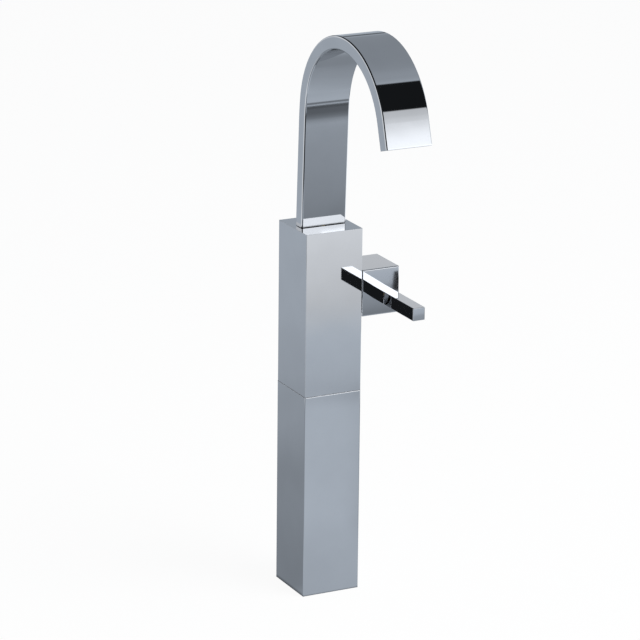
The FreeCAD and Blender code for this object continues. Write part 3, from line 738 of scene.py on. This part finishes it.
def aerator_tree():
    maker, given = new_tree("Perforated Plate", (
        "Plate Length", "Plate Width", "Plate Thickness", "Mouth Length", "Mouth Width", "Pitch Along", "Pitch Across",
        "Hole Along", "Hole Across", "Tilt"), [("Columns", "Int"), ("Rows", "Int"), ("Place", "Vector")])
    rounding = maker.product(given["Plate Width"], nearly_half)
    outline = rounded_rectangle(maker, given["Plate Length"], given["Plate Width"], rounding, plate_corner_steps)
    face = maker.add("GeometryNodeFillCurve", {"Curve": outline}, mode="NGONS")
    plate = maker.add("GeometryNodeExtrudeMesh", {"Mesh": face.outputs["Mesh"], "Offset": (0, 0, 1),
                                                  "Offset Scale": given["Plate Thickness"], "Individual": False})
    closed = maker.add("GeometryNodeFlipFaces", {"Mesh": face.outputs["Mesh"]})
    joined = maker.add("GeometryNodeJoinGeometry")
    maker.feed(joined.inputs[0], plate.outputs["Mesh"])
    maker.feed(joined.inputs[0], closed.outputs["Mesh"])
    solid = maker.add("GeometryNodeMergeByDistance", {"Geometry": joined.outputs[0], "Distance": weld_distance})
    field = maker.add("GeometryNodeMeshGrid", {
        "Size X": maker.product(given["Pitch Along"], maker.minus(given["Columns"], 1.0)),
        "Size Y": maker.product(given["Pitch Across"], maker.minus(given["Rows"], 1.0)),
        "Vertices X": given["Columns"], "Vertices Y": given["Rows"]})
    x, y = maker.split(maker.add("GeometryNodeInputPosition").outputs[0])[:2]
    half = maker.product(given["Mouth Width"], 0.5)
    flat = maker.minus(maker.product(given["Mouth Length"], 0.5), half)
    far_x = maker.math("MULTIPLY_ADD", given["Hole Along"], 0.5, maker.math("ABSOLUTE", x))
    far_y = maker.math("MULTIPLY_ADD", given["Hole Across"], 0.5, maker.math("ABSOLUTE", y))
    past = maker.math("MAXIMUM", maker.minus(far_x, flat), 0.0)
    reach = maker.math("SQRT", maker.sum(maker.product(past, past), maker.product(far_y, far_y)))
    kept = maker.add("GeometryNodeDeleteGeometry", {
        "Geometry": field.outputs["Mesh"], "Selection": maker.math("GREATER_THAN", reach, half)}, domain="POINT")
    depth = maker.product(given["Plate Thickness"], 3.0)
    punch = maker.add("GeometryNodeMeshCube", {"Size": maker.vector(given["Hole Along"], given["Hole Across"], depth)})
    punches = maker.add("GeometryNodeInstanceOnPoints", {"Points": kept.outputs[0], "Instance": punch.outputs["Mesh"]})
    cutters = maker.add("GeometryNodeRealizeInstances", {"Geometry": punches.outputs[0]})
    set_in = maker.add("GeometryNodeTransform", {
        "Geometry": cut(maker, solid.outputs[0], cutters.outputs[0]), "Translation": given["Place"],
        "Rotation": maker.vector(maker.product(given["Tilt"], -1.0), 0.0, 0.0)})
    return finish_tree(maker, set_in.outputs["Geometry"], given["Material"])


class MIXER_OT_aerator(bpy.types.Operator):
    """Perforate the aerator's plate in the outlet"""
    bl_idname = "mixer.aerator"
    bl_label = "Aerator"

    def execute(self, context):
        sizes, band = context.scene.mixer_aerator, context.scene.mixer_spout
        end, heading = outlet_place(band)
        plate = run_tree("aerator_perforated_plate", aerator_tree(), sizes, {
            "Tilt": band.outlet_tilt, "Place": end - heading * sizes.plate_depth,
            "Material": finishes["dark_plastic"]})
        dress(plate, finishes["dark_plastic"], "dark_plastic", "spout", "aerator_grid")
        return {"FINISHED"}


# Lever

class MIXER_OT_lever(bpy.types.Operator):
    """Build the lever's hub and bar, with softened edges"""
    bl_idname = "mixer.lever"
    bl_label = "Lever"

    def execute(self, context):
        sizes = context.scene.mixer_lever
        make_hub(sizes)
        make_bar(sizes)
        return {"FINISHED"}


def make_hub(sizes):
    back, front = hub_high.y, hub_low.y
    relief = back * math.tan(sizes.relief_angle)
    outline = [(hub_low.x, front), (hub_high.x, front), (hub_high.x, back), (hub_low.x + relief, back), (hub_low.x, 0)]
    hub = prism("hub_chrome", outline, upright(hub_low.z, hub_high.z))
    inside = hub_low.x + sizes.hollow_depth
    hollow = prism("hollow", ring_of_points(0, lever_height, sizes.hollow_diameter), sideways(0, inside))
    boss = prism("boss", ring_of_points(0, lever_height, sizes.boss_diameter), sideways(-hub_low.x, 2 * inside))
    combine(hollow, "DIFFERENCE", (boss,))
    cap_low, cap_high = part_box("hub_screw_cap")
    cap_x = (cap_low.x + cap_high.x) / 2
    cap = prism("cap", ring_of_points(cap_x, lever_height, sizes.cap_diameter),
                endways(back - sizes.cap_depth, 2 * back))
    screw_low, screw_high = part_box("bar_grub_screw")
    screw_y = (screw_low.y + screw_high.y) / 2
    drill = prism("drill", ring_of_points(bar_axis, screw_y, sizes.screw_hole), upright(0, screw_low.z))
    tenon = prism("tenon", ring_of_points(bar_axis, lever_height, sizes.tenon_diameter),
                  endways(2 * front, front + sizes.tenon_length))
    combine(hub, "DIFFERENCE", (hollow, cap, drill, tenon))
    near = sizes.hub_round / 4
    relief_share = 0.4

    def share(middle):
        on_low, on_high = [[abs(middle[axis] - corner[axis]) < near for axis in range(3)]
                           for corner in (hub_low, hub_high)]
        if sum(on_low + on_high) > 1:
            return 1
        on_relief = middle.y > 0 and abs(middle.x - hub_low.x - middle.y * relief / back) < near
        return relief_share if on_relief and (on_high[1] or on_low[2] or on_high[2]) else 0

    soften(hub, sizes.hub_round, share)
    dress(hub, finishes["hub_chrome"], "chrome", "lever", "handle_hub")


def make_bar(sizes):
    bar = prism("bar_chrome", rectangle(bar_low.x, bar_high.x, bar_low.z, bar_high.z), endways(bar_low.y, hub_low.y))
    tenon = prism("tenon", ring_of_points(bar_axis, lever_height, sizes.tenon_diameter),
                  endways(hub_low.y - sizes.tenon_length, bar_high.y))
    combine(bar, "UNION", (tenon,))
    near = sizes.bar_round / 2

    def share(middle):
        return 1 if middle.y < hub_low.y - near else 0

    soften(bar, sizes.bar_round, share)
    dress(bar, finishes["bar_chrome"], "chrome", "lever", "lever_bar")


# Grub screws

thread_sides, thread_rings = 40, 60


def screw_tree():
    maker, given = new_tree("Grub Screw", ("Diameter", "Length", "Pitch", "Ridge", "Socket", "Socket Depth"),
                            [("Place", "Vector"), ("Turn", "Vector")])
    radius = maker.product(given["Diameter"], 0.5)
    half_length = maker.product(given["Length"], 0.5)
    shank = maker.add("GeometryNodeMeshCylinder", {
        "Vertices": thread_sides, "Side Segments": thread_rings, "Radius": radius, "Depth": given["Length"]})
    x, y, z = maker.split(maker.add("GeometryNodeInputPosition").outputs[0])
    from_end = maker.minus(half_length, maker.math("ABSOLUTE", z))
    around = maker.math("DIVIDE", maker.math("ARCTAN2", y, x), 2 * math.pi)
    ridge = maker.math("PINGPONG", maker.sum(maker.math("DIVIDE", z, given["Pitch"]), around), 0.5)
    chamfer = maker.step(from_end, 0.0, given["Pitch"], 1.0, 0.0)
    sunk = maker.product(given["Ridge"], maker.math("MAXIMUM", maker.product(ridge, 2.0), chamfer))
    scale = maker.minus(1.0, maker.math("DIVIDE", sunk, radius))
    threaded = maker.add("GeometryNodeSetPosition", {
        "Geometry": shank.outputs["Mesh"],
        "Position": maker.vector(maker.product(x, scale), maker.product(y, scale), z)})
    corner = maker.product(given["Socket"], 0.5 / math.cos(math.pi / 6))
    key = maker.add("GeometryNodeMeshCylinder", {"Vertices": 6, "Radius": corner,
                                                 "Depth": maker.product(given["Socket Depth"], 2.0)})
    key = maker.add("GeometryNodeTransform", {"Geometry": key.outputs["Mesh"],
                                              "Translation": maker.vector(0.0, 0.0, half_length)})
    socketed = cut(maker, threaded.outputs["Geometry"], key.outputs["Geometry"])
    set_in = maker.add("GeometryNodeTransform", {"Geometry": socketed, "Translation": given["Place"],
                                                 "Rotation": given["Turn"]})
    return finish_tree(maker, set_in.outputs["Geometry"], given["Material"])


class MIXER_OT_grub_screws(bpy.types.Operator):
    """Thread the three grub screws and sink their hexagon sockets"""
    bl_idname = "mixer.grub_screws"
    bl_label = "Grub Screws"

    def execute(self, context):
        sizes = context.scene.mixer_screws
        tree = screw_tree()
        quarter = math.pi / 2
        screws = (("foot_grub_screw", "spout", 0, (0, quarter, 0)), ("hub_grub_screw", "lever", 1, (-quarter, 0, 0)),
                  ("bar_grub_screw", "lever", 2, (2 * quarter, 0, 0)))
        for node, body, axis, turn in screws:
            low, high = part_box(node)
            across = (axis + 1) % 3
            diameter = high[across] - low[across]
            screw = run_tree(node + "_threaded", tree, sizes, {
                "Diameter": diameter, "Length": high[axis] - low[axis], "Socket": diameter * sizes.socket_share,
                "Place": (low + high) / 2, "Turn": turn, "Material": finishes["steel"]})
            dress(screw, finishes["steel"], "steel", body, node)
        return {"FINISHED"}


# Studio. The ramps hold half of each tone, so what shows them shines at full_light.

full_light = 2.0
white = (1.0, 1.0, 1.0, 1.0)
cool_tint = (0.9, 1.0, 1.13)
bright_tint = (0.965, 1.0, 1.05)
black_tone, aisle_tone, front_tone, pale_tone, bright_tone = 0.02, 0.62, 0.65, 0.95, 1.3

# Tones of the room that the chrome mirrors, by their turn in degrees about the X axis: 0 is straight ahead, 90 is
# overhead and 180 is behind

wall_tones = (
    (-180, 0.5), (-168, 0.52), (-162.4, 0.55), (-161, 0.53), (-160.5, 0.49), (-159.7, 0.46), (-159.4, 0.44),
    (-159.2, 0.412), (-158.9, 0.376), (-158.4, 0.36), (-158, 0.333), (-157.3, 0.331), (-140, 0.3))
skirting_tones = (
    (-40, 0.56), (-31.4, 0.6), (-29.5, 0.61), (-29.15, 0.36), (-28.75, 0.19), (-28.3, 0.27), (-27.9, 0.66),
    (-27.5, 0.215), (-27.1, 0.115), (-26.6, 0.127), (-26.2, 0.16), (-24.6, 0.165), (-24.1, 0.185), (-23.3, 0.22),
    (-22.5, 0.275), (-22.2, 0.31), (-22, 0.35), (-21.6, 0.38), (-21.2, 0.41), (-20.8, 0.44), (-20.6, 0.445),
    (-20.5, 0.57), (-20.4, 0.6), (-20, 0.62), (-19.5, 0.66), (-19, 0.755), (-18.4, 0.86), (-18, 0.94), (-17, 1.08))
window_tones = ((-18, 1.0), (-12, 1.3), (0, 1.7), (12, 1.7), (16, 1.68), (17, 1.65))
lintel_tones = (
    (16, 1.68), (17.65, 1.62), (17.8, 1.5), (17.9, 1.3), (18, 1.12), (18.1, 1.01), (18.8, 0.95), (21.3, 0.9),
    (23.8, 0.82), (26.2, 0.79), (28.7, 0.765), (30.4, 0.75), (31.8, 0.012), (40, 0.012))
ceiling_tones = (
    (38, 0.012), (65.4, 0.012), (66.6, 0.5), (68, 0.49), (70.1, 0.45), (73, 0.425), (77, 0.425), (82, 0.405),
    (87, 0.375), (95, 0.36), (105, 0.35), (150, 0.34))
cornice_tones = (
    (150, 0.34), (160.6, 0.35), (161.8, 0.46), (162.8, 0.46), (164, 0.36), (166, 0.2), (167, 0.12), (169, 0.12),
    (171, 0.4), (173, 0.48), (180, 0.5))

# Tones of the mat round the foot, from straight behind the column at -1 to straight in front of it at 1

mat_tones = ((-1, 0.31), (-0.5, 0.31), (0, 0.35), (0.4, 0.41), (0.64, 0.44), (0.77, 0.49), (0.82, 0.53), (0.86, 0.58),
             (0.895, 0.65), (1, 0.66))

# Softboxes and a black card: distance along Y, lower and upper corner as X and Z, and strength

cards = {
    "front_softbox": (-0.8, (0.39, 0.463), (0.6, 0.54), 2.7),
    "back_softbox": (0.3, (0.165, 0.33), (0.262, 0.37), 0.7),
    "foot_softbox": (-0.3, (0.124, 0.386), (0.176, 0.403), 1.9),
    "black_card": (-0.6, (0.3668, 0.0), (0.41, 0.031), 0.03),
}


def grey(tone):
    """Cool studio grey, closer to white where it is bright."""
    tint = cool_tint if tone < 0.75 else bright_tint
    return tuple(tone / full_light * part for part in tint)


def tone_ramp(maker, value, stops):
    """Ramp of greys through stops of value and tone."""
    first, last = stops[0][0], stops[-1][0]
    share = maker.math("DIVIDE", maker.minus(value, first), last - first)
    return maker.ramp(share, [((place - first) / (last - first), grey(tone)) for place, tone in stops])


def between(maker, value, low, high, soft):
    """1 where a value lies between two limits, with soft edges."""
    rise = maker.step(value, low - soft, low + soft)
    fall = maker.step(value, high - soft, high + soft, 1.0, 0.0)
    return maker.product(rise, fall)


def mix_colours(maker, share, first, second):
    """Colour between two others, each of which may be a tone of grey."""
    node = maker.add("ShaderNodeMix", {"Factor": share}, data_type="RGBA")
    for socket, tone in ((node.inputs[6], first), (node.inputs[7], second)):
        maker.feed(socket, (*grey(tone), 1.0) if isinstance(tone, float) else tone)
    return node.outputs[2]


def mix_shaders(maker, share, first, second):
    return maker.add("ShaderNodeMixShader", {0: share, 1: first, 2: second}).outputs[0]


def glow(maker, tone, strength):
    return maker.add("ShaderNodeEmission", {"Color": tone, "Strength": strength}).outputs[0]


def bearing(maker, side, ahead):
    """Angle in degrees from straight ahead."""
    return maker.product(maker.math("ARCTAN2", side, ahead), 180 / math.pi)


def seen_directly(maker, light):
    """1 where the camera sees a surface, itself or through glass."""
    return maker.math("MAXIMUM", light.outputs["Is Camera Ray"], light.outputs["Is Transmission Ray"])


def new_surface(name):
    """Material without a shader of its own."""
    material, maker, shader = new_material(name)
    material.node_tree.nodes.remove(shader)
    return material, maker


def show(maker, output, shader):
    maker.feed(maker.tree.nodes[output].inputs["Surface"], shader)


def make_world():
    """Studio round the object: a bright window in front, a dark strip above it, grey walls and a pale left side."""
    world = bpy.data.worlds.new("studio")
    bpy.context.scene.world = world
    world.use_nodes = True
    maker = NodeMaker(world.node_tree)
    x, y, z = maker.split(maker.add("ShaderNodeTexCoord").outputs["Generated"])
    ahead = maker.product(y, -1.0)
    turn = bearing(maker, z, ahead)
    azimuth = bearing(maker, x, ahead)
    height = maker.product(maker.math("ARCSINE", z), 180 / math.pi)

    def patch(left, right, low, high, soft):
        """1 between two azimuths and two heights."""
        return maker.product(between(maker, azimuth, left, right, 3.0), between(maker, height, low, high, soft))

    room = tone_ramp(maker, turn, wall_tones)
    for start, tones in ((-90.0, skirting_tones), (-17.5, window_tones), (16.5, lintel_tones), (39.0, ceiling_tones),
                         (150.0, cornice_tones)):
        room = mix_colours(maker, maker.math("GREATER_THAN", turn, start), room, tone_ramp(maker, turn, tones))
    to_left = maker.step(x, 0.22, 0.3, 1.0, 0.0)
    in_front = maker.product(between(maker, azimuth, -66.0, 60.0, 3.0), maker.step(height, -41.0, -39.0))
    overhead = maker.step(z, 0.28, 0.36)
    dark = maker.product(to_left, maker.math("MAXIMUM", in_front, overhead))
    room = mix_colours(maker, dark, room, black_tone)
    pale = maker.math("MAXIMUM", patch(-165.0, -68.0, -11.0, 20.0, 2.0), patch(-142.0, -68.0, -32.0, -9.0, 2.0))
    room = mix_colours(maker, pale, room, pale_tone)
    room = mix_colours(maker, patch(46.0, 150.0, -24.0, -3.0, 1.0), room, bright_tone)
    mirrored = world.node_tree.nodes["Background"]
    maker.feed(mirrored.inputs["Color"], room)
    mirrored.inputs["Strength"].default_value = full_light
    page = maker.add("ShaderNodeBackground", {"Color": white, "Strength": 1.0})
    seen = seen_directly(maker, maker.add("ShaderNodeLightPath"))
    show(maker, "World Output", mix_shaders(maker, seen, mirrored.outputs[0], page.outputs[0]))


def floor_finish(foot):
    """White floor that keeps the object's shadow. The chrome sees a glowing mat of soft grey round the foot, with
    painted shade that darkens it towards the foot, and beyond it a grey aisle with dark gaps."""
    material, maker = new_surface("studio floor")
    page_share, page_strength = 0.9, 1.05
    paper = pattern(maker, "Noise", 30.0, Detail=4.0)
    tone = maker.ramp(paper, [(0.3, (0.9, 0.9, 0.9)), (0.7, (0.93, 0.93, 0.93))])
    matt = maker.add("ShaderNodeBsdfDiffuse", {"Color": tone}).outputs[0]
    page = mix_shaders(maker, page_share, matt, glow(maker, white, page_strength))
    x, y = maker.split(object_place(maker))[:2]
    away = maker.math("SQRT", maker.sum(maker.product(x, x), maker.product(y, y)))
    facing = maker.math("DIVIDE", y, maker.product(away, -1.0))
    at_front = maker.product(maker.step(y, -foot - 0.002, -foot, 1.0, 0.0), maker.step(away, 0.08, 0.2, 1.0, 0.0))
    shade = mix_colours(maker, at_front, tone_ramp(maker, facing, mat_tones), front_tone)
    # Painted shade: the glow that the chrome mirrors darkens towards the foot, as if the column shaded the floor
    # there.
    beside = maker.step(away, 0.02, 0.2, 0.87, 1.0)
    behind = maker.product(maker.step(facing, -0.6, 0.0, 1.0, 0.0), maker.step(away, 0.24, 0.42, 0.09, 0.39))
    # Painted contact shadow: the glow that the chrome mirrors drops to about a third within 4 mm of the foot's edge.
    edge = maker.math("MAXIMUM", maker.math("ABSOLUTE", x), maker.math("ABSOLUTE", y))
    painted_contact_shadow = maker.step(edge, foot, foot + 0.004, 0.35, 1.0)
    mat = glow(maker, shade, maker.product(maker.sum(beside, behind), painted_contact_shadow, full_light))
    azimuth = bearing(maker, x, maker.product(y, -1.0))
    pale = maker.product(between(maker, azimuth, -66.0, 20.0, 2.0), maker.step(away, 0.84, 0.9, 1.0, 0.0))
    left_gap = between(maker, azimuth, -40.0, -14.0, 2.0)
    right_gap = maker.product(between(maker, azimuth, 46.0, 110.0, 2.0), between(maker, away, 0.66, 0.81, 0.01))
    gaps = maker.math("MAXIMUM", left_gap, right_gap)
    aisle = glow(maker, mix_colours(maker, gaps, aisle_tone, black_tone), full_light)
    clear = maker.add("ShaderNodeBsdfTransparent").outputs[0]
    beyond = mix_shaders(maker, maker.math("MAXIMUM", pale, right_gap), clear, aisle)
    mirrored = mix_shaders(maker, maker.step(away, 0.44, 0.52, 1.0, 0.0), beyond, mat)
    light = maker.add("ShaderNodeLightPath")
    shown = mix_shaders(maker, seen_directly(maker, light), matt, page)
    show(maker, "Material Output", mix_shaders(maker, light.outputs["Is Glossy Ray"], shown, mirrored))
    return material


def make_card(name, distance, low, high, strength):
    """Upright softbox or card that only shows in the chrome. low and high are its corners, as X and Z."""
    mesh = bpy.data.meshes.new(name)
    mesh.from_pydata([(u, distance, v) for u, v in rectangle(low[0], high[0], low[1], high[1])], [], [(0, 1, 2, 3)])
    material, maker = new_surface(name)
    show(maker, "Material Output", glow(maker, (*bright_tint, 1.0), strength))
    mesh.materials.append(material)
    card = add_object(name, mesh)
    for ray in ("camera", "diffuse", "transmission", "shadow"):
        setattr(card, "visible_" + ray, False)


def make_floor(studio):
    mesh = bpy.data.meshes.new("studio_floor")
    mesh.from_pydata([(u, v, -studio.floor_drop) for u, v in square(studio.floor_size)], [], [(0, 1, 2, 3)])
    mesh.materials.append(floor_finish(extension_high.x))
    add_object("studio_floor", mesh)


def make_lamp(studio):
    lamp = bpy.data.lights.new("key", "AREA")
    lamp.shape = "DISK"
    lamp.size = studio.key_size
    lamp.energy = studio.key_power
    key = add_object("key", lamp)
    key.location = studio.key_place
    aim = Vector((0, 0, studio.key_aim))
    key.rotation_euler = (aim - key.location).to_track_quat("-Z", "Y").to_euler()
    key.visible_glossy = False


def make_camera(studio):
    turn, climb, roll = studio.azimuth, studio.elevation, studio.roll
    back = Vector((math.sin(turn) * math.cos(climb), -math.cos(turn) * math.cos(climb), math.sin(climb)))
    level = Vector((math.cos(turn), math.sin(turn), 0))
    steep = back.cross(level)
    right = math.cos(roll) * level + math.sin(roll) * steep
    up = math.cos(roll) * steep - math.sin(roll) * level
    camera = bpy.data.cameras.new("view")
    camera.sensor_width = 36.0
    camera.lens = studio.lens
    eye = add_object("view", camera)
    eye.matrix_world = Matrix.Translation(studio.eye) @ Matrix((right, up, back)).transposed().to_4x4()
    bpy.context.scene.camera = eye


class MIXER_OT_studio(bpy.types.Operator):
    """Set up the floor, the light and the camera"""
    bl_idname = "mixer.studio"
    bl_label = "Studio"

    def execute(self, context):
        studio = context.scene.mixer_studio
        context.scene.view_settings.view_transform = "Standard"
        make_world()
        make_floor(studio)
        for name, card in cards.items():
            make_card(name, *card)
        make_lamp(studio)
        make_camera(studio)
        return {"FINISHED"}


class MIXER_PT_sidebar(bpy.types.Panel):
    """Lists the steps that dress the mixer"""
    bl_idname = "MIXER_PT_sidebar"
    bl_label = "Basin Mixer"
    bl_space_type = "VIEW_3D"
    bl_region_type = "UI"
    bl_category = "Mixer"

    def draw(self, context):
        for step in steps:
            self.layout.operator(step.bl_idname)


groups = {
    "mixer_finishes": MixerFinishes, "mixer_column": MixerColumnSizes, "mixer_spout": MixerSpoutSizes,
    "mixer_aerator": MixerAeratorSizes, "mixer_lever": MixerLeverSizes, "mixer_screws": MixerScrewSizes,
    "mixer_studio": MixerStudio,
}
steps = (MIXER_OT_finishes, MIXER_OT_column, MIXER_OT_spout, MIXER_OT_aerator, MIXER_OT_lever, MIXER_OT_grub_screws,
         MIXER_OT_studio)


def register():
    for name, group in groups.items():
        bpy.utils.register_class(group)
        setattr(bpy.types.Scene, name, PointerProperty(type=group))
    for step in steps:
        bpy.utils.register_class(step)
    bpy.utils.register_class(MIXER_PT_sidebar)


def unregister():
    bpy.utils.unregister_class(MIXER_PT_sidebar)
    for step in reversed(steps):
        bpy.utils.unregister_class(step)
    for name, group in reversed(groups.items()):
        delattr(bpy.types.Scene, name)
        bpy.utils.unregister_class(group)


def main():
    register()
    bpy.ops.mixer.finishes()
    bpy.ops.mixer.column()
    bpy.ops.mixer.spout()
    bpy.ops.mixer.aerator()
    bpy.ops.mixer.lever()
    bpy.ops.mixer.grub_screws()
    bpy.ops.mixer.studio()


if __name__ == "__main__":
    main()
